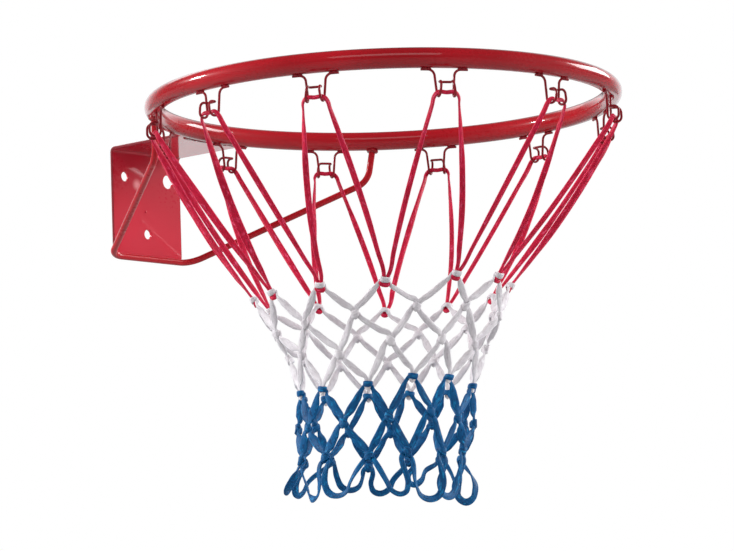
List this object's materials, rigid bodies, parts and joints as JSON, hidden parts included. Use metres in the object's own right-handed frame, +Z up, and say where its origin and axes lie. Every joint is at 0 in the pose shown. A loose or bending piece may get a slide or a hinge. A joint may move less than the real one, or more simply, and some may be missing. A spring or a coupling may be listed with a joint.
{
  "type": "wall-mounted basketball ring",
  "caption": "Round tube basketball ring on a bent sheet wall bracket, braced by one bent bar, with wire hooks under it and a knotted net in three colours.",
  "frame": {"origin": "centre of the wall plate's back face, which lies on the wall", "axes": "+Y into the wall, +Z up, +X to the right as seen from in front of the ring"},
  "size_m": [0.4943, 0.597, 0.4125],
  "materials": {
    "ring_paint": "glossy red paint",
    "bracket_paint": "glossy red paint",
    "bar_paint": "glossy red paint",
    "wire_paint": "satin dark red paint",
    "weld_paint": "uneven red paint over weld beads",
    "red_cord": "smooth braided cord",
    "white_cord": "smooth braided cord",
    "blue_cord": "smooth braided cord"
  },
  "bodies": {
    "hoop": {"ring": "ring_paint", "bracket": "bracket_paint", "strut": "bar_paint", "strut_weld_left": "weld_paint", "strut_weld_right": "weld_paint", "flange_weld": "weld_paint", "hook_01": "wire_paint", "hook_02": "wire_paint", "hook_03": "wire_paint", "hook_04": "wire_paint", "hook_05": "wire_paint", "hook_06": "wire_paint", "hook_07": "wire_paint", "hook_08": "wire_paint", "hook_09": "wire_paint", "hook_10": "wire_paint", "hook_11": "wire_paint", "hook_12": "wire_paint", "net_red": "red_cord"},
    "net": {"net_white": "white_cord", "net_blue": "blue_cord"}
  },
  "joints": [
    {"name": "net_sway", "type": "hinge", "parent": "hoop", "child": "net", "pos_m": [0, -0.35, 0.0284], "axis": [1, 0, 0], "range_deg": [-12, 12], "deforming": ["net_red"]}
  ]
}
